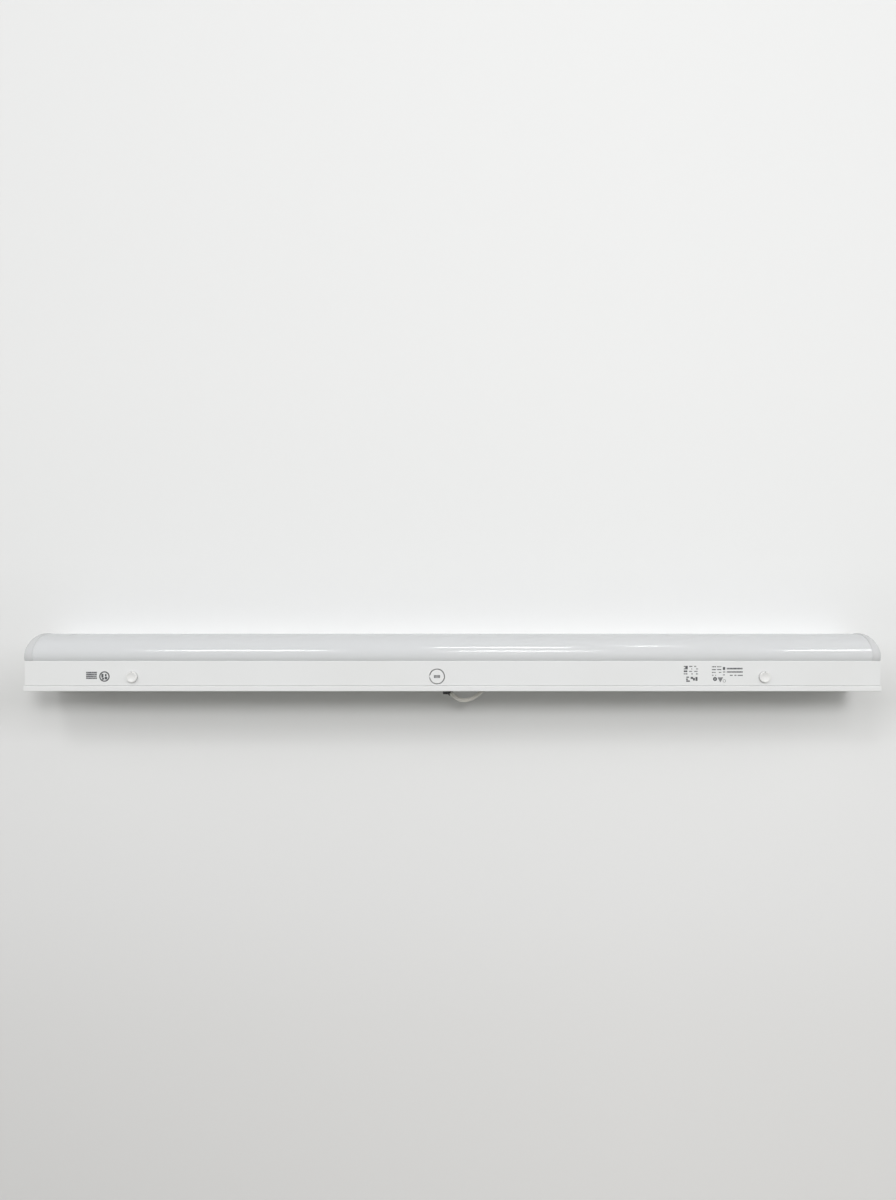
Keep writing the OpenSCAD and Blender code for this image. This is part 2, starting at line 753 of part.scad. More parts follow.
// Output leads: from the driver, up through the grommet to the right board
module output_leads() {
    for (k = [-1, 1]) color(k < 0 ? "black" : "red")
        tube(lead_path([
            [driver_far_x - sheet - terminal_setback, terminal_mid_y + 2 * k, pcb_top + terminal_hole_z],
            [driver_far_x + 8, terminal_mid_y + 2 * k, pcb_top + terminal_hole_z],
            [driver_far_x + 24, grommet_y - 5 + 2 * k, pcb_top + 7],
            [grommet_x - 2 * k, grommet_y + 1, shelf_bottom - 8],
            [grommet_x - 2 * k, grommet_y + 1, shelf_top + 1],
            [grommet_x - 1.4 * k, grommet_y - 4, board_top + 3.6],
            [feed_x - 1.4 * k, link_y + 6, board_top + 1.7],
            [feed_x - 1.4 * k, link_y + 3, board_top + 1.7],
        ]), 1.8, 8, [0.9, 0.1, 0.4]);
}

// ---------- diffuser and end caps ----------

// Right half of the diffuser's section: an upright leg, a foot that curves out
// over the tray's edge and a half-elliptic dome. Inset moves the wall inwards.
function lens_side(inset, bottom, dome_steps = 40) = concat(
    [[lens_leg - inset, bottom]],
    [for (i = [0 : 6]) let (s = 1 - i / 6)
        [half_w - inset - tuck_in * s * s, tuck_z - tuck_h * s]],
    [for (i = [1 : dome_steps]) let (a = 90 * i / dome_steps)
        [(half_w - inset) * cos(a), tuck_z + (dome_h - inset) * sin(a)]]
);
function closed(side) = concat(side, mirrored([for (i = [0 : len(side) - 2]) side[i]]));

function lens_inside() =
    let (tip = lens_leg - lens_wall - rib_w)
    concat([[tip, shelf_top], [tip, shelf_top + rib_t]], lens_side(lens_wall, shelf_top + rib_t));

module lens() {
    color("white", 0.8) along_x(2 * lens_half_len)
        polygon(concat(closed(lens_side(0, shelf_top)), reversed(closed(lens_inside()))));
}

// The cap's outline, drawn in by a share of its rounding
function cap_line(turn) =
    let (
        wide = half_w + cap_skin, tall = side_h + lens_rise + cap_skin - cap_bottom,
        in = cap_round * (1 - cos(turn)),
        foot = [wide - tuck_in * pow((tuck_z - cap_bottom) / tuck_h, 2), cap_bottom],
        side = concat([foot], [for (p = lens_side(-cap_skin, cap_bottom, 20)) if (p[1] > cap_bottom + 0.1) p])
    )
    [for (p = closed(side)) [p[0] * (wide - 0.4 * in) / wide, cap_bottom + (p[1] - cap_bottom) * (tall - in) / tall]];

// The solid end of a cap: its outline rounds over into a flat end face
module cap_nose() {
    steps = 6;
    lines = [for (i = [0 : steps]) cap_line(90 * i / steps)];
    n = len(lines[0]);
    points = [for (i = [0 : steps], p = lines[i]) [cap_out_x - cap_round * (1 - sin(90 * i / steps)), p[0], p[1]]];
    polyhedron(points, concat(
        [[for (k = [0 : n - 1]) k]],
        [[for (k = [n - 1 : -1 : 0]) steps * n + k]],
        [for (i = [0 : steps - 1], k = [0 : n - 1]) let (a = i * n + k, b = i * n + (k + 1) % n) [a, a + n, b]],
        [for (i = [0 : steps - 1], k = [0 : n - 1]) let (a = i * n + k, b = i * n + (k + 1) % n) [b, a + n, b + n]]
    ));
}

// A skirt over the diffuser's end, a rounded end wall, a plug inside and two feet
module end_cap() {
    plug_gap = lens_wall + 0.2;
    plug_skin = 1.4;
    foot_w = 9;
    skirt_x = cap_in_x - cap_skirt;
    nose_x = cap_out_x - cap_round;
    stop_x = cap_in_x - lens_stop;
    difference() {
        union() {
            translate([(skirt_x + nose_x) / 2, 0, 0]) along_x(nose_x - skirt_x) difference() {
                polygon(closed(lens_side(-cap_skin, cap_bottom, 20)));
                translate([0, cap_bottom - 20]) square([4 * half_w, 40], center = true);
            }
            cap_nose();
        }
        translate([(skirt_x + stop_x) / 2 - 1, 0, 0]) along_x(stop_x - skirt_x + 2) difference() {
            polygon(closed(lens_side(-0.05, shelf_top)));
            polygon(closed(lens_side(plug_gap, shelf_top - 2)));
        }
        translate([stop_x - 30, 0, 0]) along_x(60) polygon(closed(lens_side(plug_gap + plug_skin, 0)));
        translate([cap_in_x - 10, 0, 0]) along_x(20) polygon(closed(lens_side(cap_round, 0)));
    }
    for (y = [-1, 1] * cap_screw_gap / 2) difference() {
        union() {
            translate([cap_in_x - 2.5, y, cap_bottom]) block([5 + 2 * eps, foot_w, 5]);
            translate([body_half_len - 3, y, shelf_top]) block([5.8, foot_w, trough_depth + 2]);
        }
        translate([body_half_len - 8, y, cap_screw_z]) rotate([0, 90, 0])
            cylinder(d = cap_screw_d + 2 * run_clearance, h = 20);
    }
}
module end_cap_left() { color("white", 0.8) mirror([1, 0, 0]) end_cap(); }
module end_cap_right() { color("white", 0.8) end_cap(); }

module cap_screws() {
    color("silver") for (m = [0, 1]) mirror([m, 0, 0])
        for (y = [-1, 1] * cap_screw_gap / 2)
            translate([half_len, y, cap_screw_z]) rotate([0, 90, 0])
                screw(head_d = 4.8, head_h = 1.4, shank_d = cap_screw_d, shank_len = 6);
}

// ---------- latches ----------

// Points along +Y into the tray; the head is outside. At rest the flats stand
// upright, so the shaft can leave the keeper's mouth.
module latch() {
    dish = 1.6;
    shoulder = washer_t + sheet;
    rotate([-90, 0, 0]) difference() {
        union() {
            rotate_extrude() polygon(concat(
                [[0, -head_gap], [latch_head_d / 2, -head_gap]],
                arc(latch_head_d / 2 - 1, -latch_head_h + 1, 1, 0, -90, 4),
                [for (i = [0 : 6]) let (r = (latch_head_d / 2 - 2) * (1 - i / 6))
                    [r, -latch_head_h + dish * (1 - pow(r / (latch_head_d / 2 - 2), 2))]]
            ));
            translate([0, 0, -head_gap - eps]) cylinder(d = latch_shaft_d, h = latch_reach + sheet);
            translate([0, 0, sheet + latch_reach - 2.2]) cylinder(d = latch_shaft_d + 2, h = 1.4);
        }
        // Two flats where the shaft crosses the keeper
        for (side = [-1, 1])
            translate([side * (latch_flats / 2 + 5), 0, shoulder + 0.6])
                block([10, 20, latch_reach - washer_t - 2.9]);
        // A pointer notch in the rim
        translate([0, -latch_head_d / 2, -latch_head_h - 1]) block([1.4, 3, 2]);
    }
}

module latch_at(x, side) {
    color("ivory") translate([x, side * half_w, latch_z]) rotate([0, 0, side > 0 ? 180 : 0]) latch();
}
module latch_front_left() { latch_at(latch_left_x, -1); }
module latch_front_right() { latch_at(latch_right_x, -1); }
module latch_rear_left() { latch_at(latch_left_x, 1); }
module latch_rear_right() { latch_at(latch_right_x, 1); }

mounting_channel();
rail_front();
rail_rear();
rail_left();
rail_right();
latch_keepers();
keeper_rivets();
strain_relief();
snap_bushing();
supply_cord();
cord_tail_leads();
supply_leads();
disconnect_plug();
disconnect_socket();
driver_leads();
ground_screw();
ground_lug();
driver_case();
driver_lid();
driver_board();
driver_standoffs();
driver_transformer();
driver_capacitors();
driver_coils();
input_terminal();
output_terminal();
driver_screws();
lid_screws();
selector_body();
lumen_selector();
cct_selector();
output_leads();
gear_tray();
tray_side_front();
tray_side_rear();
end_plate_left();
end_plate_right();
lead_grommet();
latch_washers();
led_board_left();
led_board_right();
leds_left();
leds_right();
board_screws();
board_connectors();
link_leads();
lens();
end_cap_left();
end_cap_right();
cap_screws();
latch_front_left();
latch_front_right();
latch_rear_left();
latch_rear_right();
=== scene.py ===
"""Looks of a surface-mount LED strip batten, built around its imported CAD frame."""

import math
import random

import bmesh
import bpy
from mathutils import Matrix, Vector


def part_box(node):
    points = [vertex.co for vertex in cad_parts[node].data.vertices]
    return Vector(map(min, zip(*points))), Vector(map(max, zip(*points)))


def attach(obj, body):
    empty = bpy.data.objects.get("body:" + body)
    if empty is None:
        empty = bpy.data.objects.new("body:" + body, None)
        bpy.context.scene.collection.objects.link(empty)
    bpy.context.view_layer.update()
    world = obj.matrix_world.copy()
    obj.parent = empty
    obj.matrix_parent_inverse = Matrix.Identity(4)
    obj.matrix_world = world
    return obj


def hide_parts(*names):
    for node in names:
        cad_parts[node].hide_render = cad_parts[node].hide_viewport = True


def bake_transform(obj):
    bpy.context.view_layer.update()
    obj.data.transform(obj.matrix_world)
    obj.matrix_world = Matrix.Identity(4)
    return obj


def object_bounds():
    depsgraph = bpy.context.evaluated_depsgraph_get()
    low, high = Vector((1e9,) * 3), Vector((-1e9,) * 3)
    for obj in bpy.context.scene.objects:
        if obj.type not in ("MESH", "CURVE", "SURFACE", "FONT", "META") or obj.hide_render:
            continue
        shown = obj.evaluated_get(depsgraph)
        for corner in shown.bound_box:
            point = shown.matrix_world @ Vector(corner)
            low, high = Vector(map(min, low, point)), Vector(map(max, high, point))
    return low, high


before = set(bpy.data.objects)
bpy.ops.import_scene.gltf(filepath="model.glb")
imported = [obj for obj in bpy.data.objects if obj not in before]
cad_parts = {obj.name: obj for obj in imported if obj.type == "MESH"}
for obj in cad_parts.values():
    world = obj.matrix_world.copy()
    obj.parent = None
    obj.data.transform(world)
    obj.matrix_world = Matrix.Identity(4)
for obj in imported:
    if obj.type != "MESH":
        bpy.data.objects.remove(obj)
cad_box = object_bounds()

MM = 0.001
scene = bpy.context.scene
side_low, side_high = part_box("tray_side_front")
lens_low, lens_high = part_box("lens")


# ---------------------------------------------------------------- camera

VIEW_DISTANCE = 1.363  # metres from the camera's lens to the batten's side
VIEW_HEIGHT = 0.130  # metres above the mounting face
VIEW_SIDE = -0.0064  # metres along X
FOCAL_LENGTH = 28.7  # millimetres, on a sensor of this width
SENSOR_WIDTH = 36
NEAREST, FARTHEST = 0.02, 60


def make_camera():
    data = bpy.data.cameras.new("camera")
    data.lens = FOCAL_LENGTH
    data.sensor_width = SENSOR_WIDTH
    data.clip_start = NEAREST
    data.clip_end = FARTHEST
    camera = bpy.data.objects.new("camera", data)
    camera.location = (VIEW_SIDE, side_low.y - VIEW_DISTANCE, VIEW_HEIGHT)
    camera.rotation_euler = (math.radians(90), 0, 0)
    scene.collection.objects.link(camera)
    scene.camera = camera


make_camera()


# ---------------------------------------------------------------- shader nodes


class Nodes:
    """Adds nodes to a node tree."""

    def __init__(self, tree):
        self.nodes = tree.nodes
        self.links = tree.links

    def feed(self, node, inputs):
        """Links or sets some inputs of a node."""
        for key, value in inputs.items():
            if isinstance(value, bpy.types.NodeSocket):
                self.links.new(value, node.inputs[key])
            else:
                node.inputs[key].default_value = value
        return node

    def node(self, kind, inputs=None, **settings):
        made = self.nodes.new(kind)
        for key, value in settings.items():
            setattr(made, key, value)
        return self.feed(made, inputs or {})

    def calc(self, operation, a, b):
        return self.node("ShaderNodeMath", {0: a, 1: b}, operation=operation).outputs[0]

    def ramp(self, value, stops, interpolation="LINEAR"):
        """A colour or grey that follows value through stops of (place, colour or grey)."""
        made = self.node("ShaderNodeValToRGB", {"Fac": value})
        made.color_ramp.interpolation = interpolation
        elements = made.color_ramp.elements
        while len(elements) < len(stops):
            elements.new(0.5)
        for element, (place, color) in zip(elements, stops):
            grey = isinstance(color, (int, float))
            element.position = place
            element.color = (color, color, color, 1) if grey else (*color, 1)
        return made.outputs["Color"]


class Look(Nodes):
    """A material in the making. Its textures use object coordinates, in metres."""

    def __init__(self, name, color, roughness, metallic=0.0, **sockets):
        self.material = bpy.data.materials.new(name)
        self.material.use_nodes = True
        super().__init__(self.material.node_tree)
        self.shader = self.nodes["Principled BSDF"]
        self.color = color
        self.roughness = roughness
        self.set("Base Color", (*color, 1))
        self.set("Roughness", roughness)
        self.set("Metallic", metallic)
        for socket, value in sockets.items():
            self.set(socket.replace("_", " "), value)
        self.place = self.node("ShaderNodeTexCoord").outputs["Object"]
        self.normal = None
        self.tint = None

    def set(self, socket, value):
        """Links or sets one input of the surface shader."""
        self.feed(self.shader, {socket: value})

    def scaled(self, stretch):
        """Object coordinates multiplied by a stretch along each axis."""
        return self.node(
            "ShaderNodeVectorMath", {0: self.place, 1: stretch}, operation="MULTIPLY"
        ).outputs[0]

    def noise(self, size, detail=3.0, stretch=None):
        """Noise whose blobs are about size metres across."""
        where = self.scaled(stretch) if stretch else self.place
        return self.node(
            "ShaderNodeTexNoise", {"Vector": where, "Scale": 1 / size, "Detail": detail}
        ).outputs["Fac"]

    def vary_color(self, size, spread, detail=3.0, stretch=None, shift=(0, 0, 0)):
        """The base colour drifts lighter and darker by spread over blobs of a size."""
        dark = [c * (1 - spread) * (1 - s) for c, s in zip(self.color, shift)]
        light = [min(1, c * (1 + spread) * (1 + s)) for c, s in zip(self.color, shift)]
        self.tint = self.ramp(self.noise(size, detail, stretch), [(0.3, dark), (0.7, light)])
        self.set("Base Color", self.tint)

    def vary_gloss(self, size, spread, detail=4.0, stretch=None):
        """The roughness drifts up and down by spread over blobs of a size."""
        low, high = max(self.roughness - spread, 0.02), self.roughness + spread
        drift = self.ramp(self.noise(size, detail, stretch), [(0.3, low), (0.7, high)])
        self.set("Roughness", drift)

    def overlay(self, mask, color):
        """Lays a second colour over the tint where mask is high."""
        mixed = self.node("ShaderNodeMix", {0: mask, 6: self.tint, 7: (*color, 1)}, data_type="RGBA")
        self.tint = mixed.outputs[2]
        self.set("Base Color", self.tint)

    def edges(self, radius, color, amount):
        """Rounds the shading of hard edges and lays a second colour along them, in patches: wear on
        metal and boards, and a painted edge highlight where the colour is lighter than a white coat or
        plastic.
        """
        rounded = self.node("ShaderNodeBevel", {"Radius": radius}, samples=6).outputs["Normal"]
        flat = self.node("ShaderNodeNewGeometry").outputs["True Normal"]
        alike = self.node("ShaderNodeVectorMath", {0: rounded, 1: flat}, operation="DOT_PRODUCT")
        edge = self.ramp(alike.outputs["Value"], [(0.80, amount), (0.985, 0.0)])
        patches = self.ramp(self.noise(size=9 * MM), [(0.42, 0.25), (0.62, 1.0)])
        self.overlay(self.calc("MULTIPLY", edge, patches), color)
        self.normal = rounded
        self.set("Normal", rounded)

    def shade_crevices(self, reach, color, amount):
        """Painted shade: darkens the colour where surfaces stand close together, as ambient occlusion
        finds.
        """
        air = self.node("ShaderNodeAmbientOcclusion", {"Distance": reach}, samples=8).outputs["AO"]
        self.overlay(self.ramp(air, [(0.35, amount), (0.85, 0.0)]), color)

    def bump(self, height, depth):
        """Adds relief: height is 0 to 1 over a depth in metres."""
        made = self.node("ShaderNodeBump", {"Height": height, "Distance": depth, "Strength": 1.0})
        if self.normal:
            self.feed(made, {"Normal": self.normal})
        self.normal = made.outputs["Normal"]
        self.set("Normal", self.normal)

    def grain(self, size, depth, detail=2.0, stretch=None):
        """Relief from noise."""
        self.bump(self.noise(size, detail, stretch), depth)

    def mix_in(self, share, kind, inputs=None):
        """Mixes another kind of shader into the surface by a share."""
        other = self.node(kind, inputs)
        mixed = self.node(
            "ShaderNodeMixShader", {0: share, 1: self.shader.outputs[0], 2: other.outputs[0]}
        )
        self.feed(self.nodes["Material Output"], {"Surface": mixed.outputs[0]})


def tinted(color, share, lift=0.0):
    """A colour multiplied by a share and lifted, up to white."""
    return tuple(min(1, share * c + lift) for c in color)


# ---------------------------------------------------------------- materials


def powder_coat(name, color=(0.733, 0.739, 0.738)):
    """Semi-gloss white powder coat: fine orange peel over slightly wavy sheet."""
    look = Look(name, color, 0.36, Specular_IOR_Level=0.5)
    look.vary_color(size=0.11, spread=0.012, detail=5.0, shift=(0.0, 0.001, 0.004))
    look.vary_gloss(size=0.04, spread=0.05)
    # The lighter colour along the edges is a painted edge highlight.
    look.edges(radius=0.3 * MM, color=tinted(color, 1.10), amount=0.6)
    # Painted shade: the coat darkens where surfaces stand close together.
    look.shade_crevices(reach=2 * MM, color=tinted(color, 0.5), amount=0.6)
    look.grain(size=0.05, depth=0.10 * MM, detail=1.0, stretch=(0.35, 1, 1))
    look.grain(size=1.6 * MM, depth=0.010 * MM, detail=1.0)
    return look.material


def frosted_acrylic(name, color, through):
    """Opal acrylic: a smooth skin over a diffusing body that passes some light."""
    look = Look(name, color, 0.105, Specular_IOR_Level=0.5, IOR=1.49)
    look.vary_color(
        size=0.16, spread=0.010, detail=3.0, stretch=(0.2, 1, 1), shift=(0.004, 0.0, -0.003)
    )
    look.vary_gloss(size=0.03, spread=0.025, detail=4.0, stretch=(0.15, 1, 1))
    look.grain(size=0.035, depth=0.02 * MM, detail=1.0, stretch=(0.06, 1, 1))
    look.grain(size=3 * MM, depth=0.002 * MM, detail=1.0)
    look.mix_in(through, "ShaderNodeBsdfTranslucent", {"Color": (0.80, 0.84, 0.87, 1)})
    return look.material


def moulded(name, color, roughness, grain=0.6 * MM, glow=0.0, crevice_shade=0.35):
    """Injection-moulded plastic with a fine spark-eroded texture."""
    look = Look(name, color, roughness, Subsurface_Weight=glow)
    look.set("Subsurface Radius", (0.002, 0.0016, 0.0012))
    look.set("Subsurface Scale", 1.0)
    look.vary_color(size=0.012, spread=0.03, detail=4.0)
    look.vary_gloss(size=0.006, spread=0.06)
    # The lighter colour along the edges is a painted edge highlight.
    look.edges(radius=0.25 * MM, color=tinted(color, 1.12, 0.01), amount=0.5)
    # Painted shade: the plastic darkens where surfaces stand close together.
    look.shade_crevices(reach=2 * MM, color=tinted(color, 0.3), amount=crevice_shade)
    look.grain(size=grain, depth=0.01 * MM, detail=3.0)
    return look.material


def soft_rubber(name, color):
    """Matt rubber with a bloom in patches."""
    look = Look(name, color, 0.62, Specular_IOR_Level=0.35)
    look.vary_color(size=0.01, spread=0.10, detail=5.0)
    look.vary_gloss(size=0.006, spread=0.08)
    look.grain(size=0.4 * MM, depth=0.015 * MM, detail=4.0)
    return look.material


def cord_jacket(name):
    """Dull PVC jacket with grime in patches and a pebbled skin."""
    look = Look(name, (0.68, 0.66, 0.61), 0.38, Specular_IOR_Level=0.5)
    look.vary_color(size=0.009, spread=0.07, detail=5.0)
    grime = look.ramp(look.noise(size=0.004, detail=5.0), [(0.52, 0.0), (0.75, 0.35)])
    look.overlay(grime, (0.49, 0.465, 0.41))
    look.vary_gloss(size=0.005, spread=0.08)
    look.grain(size=0.5 * MM, depth=0.02 * MM, detail=3.0)
    return look.material


def insulation(name, color):
    """Smooth, slightly shiny plastic sleeve."""
    look = Look(name, color, 0.32, Coat_Weight=0.15)
    look.vary_color(size=0.006, spread=0.06, detail=4.0)
    look.vary_gloss(size=0.004, spread=0.05)
    look.grain(size=0.5 * MM, depth=0.01 * MM, detail=2.0)
    return look.material


def bare_metal(name, color=(0.56, 0.565, 0.57), stretch=(0.08, 1, 1)):
    """Plated or plain metal with a faint spangle and rubbed edges. Stretch is how it was rolled."""
    look = Look(name, color, 0.34, metallic=1.0)
    look.vary_color(size=0.007, spread=0.08, detail=3.0)
    look.vary_gloss(size=0.002, spread=0.09, detail=5.0, stretch=stretch)
    look.edges(radius=0.2 * MM, color=(0.78, 0.78, 0.77), amount=0.6)
    look.grain(size=0.5 * MM, depth=0.006 * MM, detail=4.0, stretch=stretch)
    return look.material


def circuit_board(name):
    """Solder-masked laminate with tracks showing through."""
    look = Look(name, (0.012, 0.12, 0.045), 0.30, Coat_Weight=0.3)
    look.vary_color(size=0.02, spread=0.12, detail=3.0)
    cells = look.node(
        "ShaderNodeTexVoronoi", {"Vector": look.place, "Scale": 420.0},
        feature="F1", distance="MANHATTAN",
    ).outputs["Distance"]
    tracks = look.ramp(cells, [(0.36, 0.0), (0.40, 0.7)])
    look.overlay(tracks, (0.03, 0.21, 0.09))
    look.vary_gloss(size=0.01, spread=0.05)
    look.bump(tracks, 0.03 * MM)
    return look.material


def white_solder_mask(name):
    """White board of an LED strip, greyer along its cut edges."""
    look = Look(name, (0.80, 0.81, 0.80), 0.28)
    look.vary_color(size=0.02, spread=0.015, detail=3.0)
    look.vary_gloss(size=0.008, spread=0.05)
    look.edges(radius=0.15 * MM, color=(0.55, 0.55, 0.54), amount=0.8)
    look.grain(size=1.2 * MM, depth=0.01 * MM, detail=3.0)
    return look.material


def phosphor(name):
    """LED package: a yellow phosphor window in a pale moulded frame."""
    look = Look(name, (0.80, 0.62, 0.12), 0.25, Coat_Weight=0.4)
    look.vary_color(size=0.8 * MM, spread=0.06, detail=2.0)
    look.vary_gloss(size=0.7 * MM, spread=0.05)
    look.edges(radius=0.35 * MM, color=(0.85, 0.84, 0.78), amount=1.0)
    look.grain(size=0.2 * MM, depth=0.006 * MM, detail=2.0)
    return look.material


def wound_copper(name):
    """Varnished winding: fine turns round the coil."""
    look = Look(name, (0.42, 0.16, 0.06), 0.28, metallic=0.5, Coat_Weight=0.5)
    look.vary_color(size=0.004, spread=0.12, detail=3.0)
    turns = look.node(
        "ShaderNodeTexWave", {"Vector": look.place, "Scale": 260.0, "Distortion": 0.6},
        bands_direction="X",
    ).outputs["Fac"]
    look.overlay(look.ramp(turns, [(0.0, 0.6), (0.4, 0.0)]), (0.09, 0.03, 0.015))
    look.vary_gloss(size=0.003, spread=0.05)
    look.bump(turns, 0.12 * MM)
    return look.material


def ink(name):
    """Pad-printed ink: dense grey of uneven depth."""
    look = Look(name, (0.078, 0.081, 0.087), 0.55)
    look.vary_color(size=0.9 * MM, spread=0.30, detail=4.0)
    look.vary_gloss(size=0.002, spread=0.08)
    look.grain(size=0.3 * MM, depth=0.004 * MM, detail=2.0)
    return look.material


EVEN = (1, 1, 1)  # metal that was turned or stamped, not rolled along X
COAT = powder_coat("powder_coat")
ZINC = bare_metal("zinc_steel")
SCREW_ZINC = bare_metal("zinc_screws", (0.62, 0.62, 0.61), EVEN)
BLACK_NYLON = moulded("black_nylon", (0.016, 0.016, 0.017), 0.45)
WHITE_NYLON = moulded("white_nylon", (0.72, 0.69, 0.62), 0.40, glow=0.1)
# Strong painted shade round the latch heads, where they stand on the plate.
LATCH_PLASTIC = moulded("latch_plastic", (0.745, 0.745, 0.735), 0.30, grain=0.9 * MM, crevice_shade=0.9)
BLACK_LEAD = insulation("lead_black", (0.018, 0.018, 0.019))
WHITE_LEAD = insulation("lead_white", (0.72, 0.71, 0.68))
GREEN_LEAD = insulation("lead_green", (0.02, 0.20, 0.06))
RED_LEAD = insulation("lead_red", (0.46, 0.02, 0.015))
LENS = frosted_acrylic("frosted_lens", (0.722, 0.731, 0.738), 0.18)
CAP = frosted_acrylic("cap_plastic", (0.650, 0.655, 0.660), 0.14)

# The CAD's own solids that are shown, by what they are made of
CAD_LOOKS = [
    (COAT, ["mounting_channel", "rail_front", "rail_rear", "rail_left", "rail_right"]),
    (COAT, ["gear_tray", "tray_side_front", "tray_side_rear", "end_plate_left", "end_plate_right"]),
    (ZINC, ["latch_keepers", "latch_washers"]),
    (SCREW_ZINC, ["driver_screws", "lid_screws", "board_screws", "cap_screws"]),
    (bare_metal("rivet_alloy", (0.50, 0.505, 0.51), EVEN), ["keeper_rivets"]),
    (bare_metal("ground_green", (0.03, 0.24, 0.09), EVEN), ["ground_screw"]),
    (bare_metal("lug_brass", (0.60, 0.43, 0.16), EVEN), ["ground_lug"]),
    (BLACK_NYLON, ["strain_relief", "snap_bushing"]),
    (WHITE_NYLON, ["disconnect_plug", "disconnect_socket", "input_terminal", "output_terminal"]),
    (WHITE_NYLON, ["driver_standoffs", "lumen_selector", "cct_selector", "board_connectors"]),
    (LATCH_PLASTIC, ["latch_front_left", "latch_front_right", "latch_rear_left", "latch_rear_right"]),
    (powder_coat("driver_steel", (0.66, 0.66, 0.65)), ["driver_case"]),
    (powder_coat("driver_lid_steel", (0.68, 0.68, 0.67)), ["driver_lid"]),
    (circuit_board("circuit_board"), ["driver_board"]),
    (moulded("ferrite", (0.045, 0.046, 0.05), 0.5), ["driver_transformer"]),
    (insulation("capacitor_sleeve", (0.015, 0.03, 0.12)), ["driver_capacitors"]),
    (wound_copper("coil_wire"), ["driver_coils"]),
    (moulded("switch_plastic", (0.04, 0.042, 0.045), 0.38), ["selector_body"]),
    (soft_rubber("black_rubber", (0.018, 0.018, 0.018)), ["lead_grommet"]),
    (white_solder_mask("board_white"), ["led_board_left"]),
    (white_solder_mask("board_white_right"), ["led_board_right"]),
    (phosphor("led_phosphor"), ["leds_left"]),
    (phosphor("led_phosphor_right"), ["leds_right"]),
]


def dress_cad():
    for material, nodes in CAD_LOOKS:
        for node in nodes:
            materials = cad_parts[node].data.materials
            materials.clear()
            materials.append(material)


dress_cad()


# ---------------------------------------------------------------- mesh helpers


def make_piece(name, mesh, body, materials, sharp=35, replaces=()):
    """Wraps a bmesh as a piece that takes its finish from a slot. It rides on a body,
    or on none."""
    data = bpy.data.meshes.new(name)
    bmesh.ops.recalc_face_normals(mesh, faces=mesh.faces)
    mesh.to_mesh(data)
    mesh.free()
    for polygon in data.polygons:
        polygon.use_smooth = True
    data.set_sharp_from_angle(angle=math.radians(sharp))
    piece = bpy.data.objects.new(name, data)
    scene.collection.objects.link(piece)
    for material in materials:
        data.materials.append(material)
    if body:
        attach(piece, body)
    if replaces:
        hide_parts(*replaces)
    return piece


def smooth_path(points, steps=6):
    """A Catmull-Rom curve through points in millimetres, straight along its first and last legs."""
    points = [Vector(p) * MM for p in points]
    inner = points[1:-1]
    path = [points[0]]
    for i in range(len(inner) - 1):
        a, b = inner[max(i - 1, 0)], inner[i]
        c, d = inner[i + 1], inner[min(i + 2, len(inner) - 1)]
        for k in range(steps):
            t = k / steps
            path.append(
                0.5 * (2 * b + (c - a) * t + (2 * a - 5 * b + 4 * c - d) * t * t
                       + (3 * b - a - 3 * c + d) * t * t * t)
            )
    return path + [inner[-1], points[-1]]


def join_rings(mesh, a, b, closed=True):
    """Faces between two rings or lines of as many points."""
    count = len(a)
    return [
        mesh.faces.new((a[k], a[(k + 1) % count], b[(k + 1) % count], b[k]))
        for k in range(count if closed else count - 1)
    ]


def add_tube(mesh, path, radius, material, sides=16):
    """Adds a round tube with closed ends along a path. Each ring turns as little as it can."""
    rings = []
    side = None
    for i, place in enumerate(path):
        ahead = (path[min(i + 1, len(path) - 1)] - path[max(i - 1, 0)]).normalized()
        if side is None:
            side = ahead.orthogonal()
        side = (side - ahead * side.dot(ahead)).normalized()
        other = ahead.cross(side)
        rings.append([
            mesh.verts.new(place + radius * (math.cos(turn) * side + math.sin(turn) * other))
            for turn in (2 * math.pi * k / sides for k in range(sides))
        ])
    faces = [mesh.faces.new(reversed(rings[0])), mesh.faces.new(rings[-1])]
    for low, high in zip(rings, rings[1:]):
        faces += join_rings(mesh, low, high)
    for face in faces:
        face.material_index = material


def add_box(mesh, low, high):
    """Adds a closed box."""
    corners = [
        mesh.verts.new((x, y, z))
        for x in (low[0], high[0]) for y in (low[1], high[1]) for z in (low[2], high[2])
    ]
    for ids in ((0, 1, 3, 2), (4, 6, 7, 5), (0, 4, 5, 1), (2, 3, 7, 6), (0, 2, 6, 4), (1, 5, 7, 3)):
        mesh.faces.new([corners[i] for i in ids])


# ---------------------------------------------------------------- supply cord and leads
# Routes are in millimetres and repeat those of the CAD source

CORD_DIAMETER = 5.5 * MM
CORD_ROUTE = [
    (-2, 13.5, -9.5), (3, 9.5, -14), (9, 5, -17.5), (15.5, 1, -19), (22.5, -1.5, -18),
    (29, -3, -15.5), (35, -4, -12), (40.5, -4.5, -7.5), (45, -5, -3), (50, -5.5, 1.5),
    (55.5, -6, 5.5), (62, -6, 8), (69, -6, 8.5), (76, -6, 7), (83, -6, 5), (90, -6, 4),
]
# Each stripped core's way on from the cord's end: along X, away from the middle core, and along Z
CORE_STEPS = [(0.05, 1.6, -0.2), (2, 1.7, -0.3), (4, 2.1, -0.7), (5.4, 2.4, -0.9), (6, 2.6, -1)]
CORE_RADIUS = 0.65 * MM
SUPPLY_LEAD_RADIUS = 1.1 * MM
GROUND_LEAD_RADIUS = 0.8 * SUPPLY_LEAD_RADIUS
OUTPUT_LEAD_RADIUS = 0.9 * MM
LINK_LEAD_RADIUS = 0.8 * MM


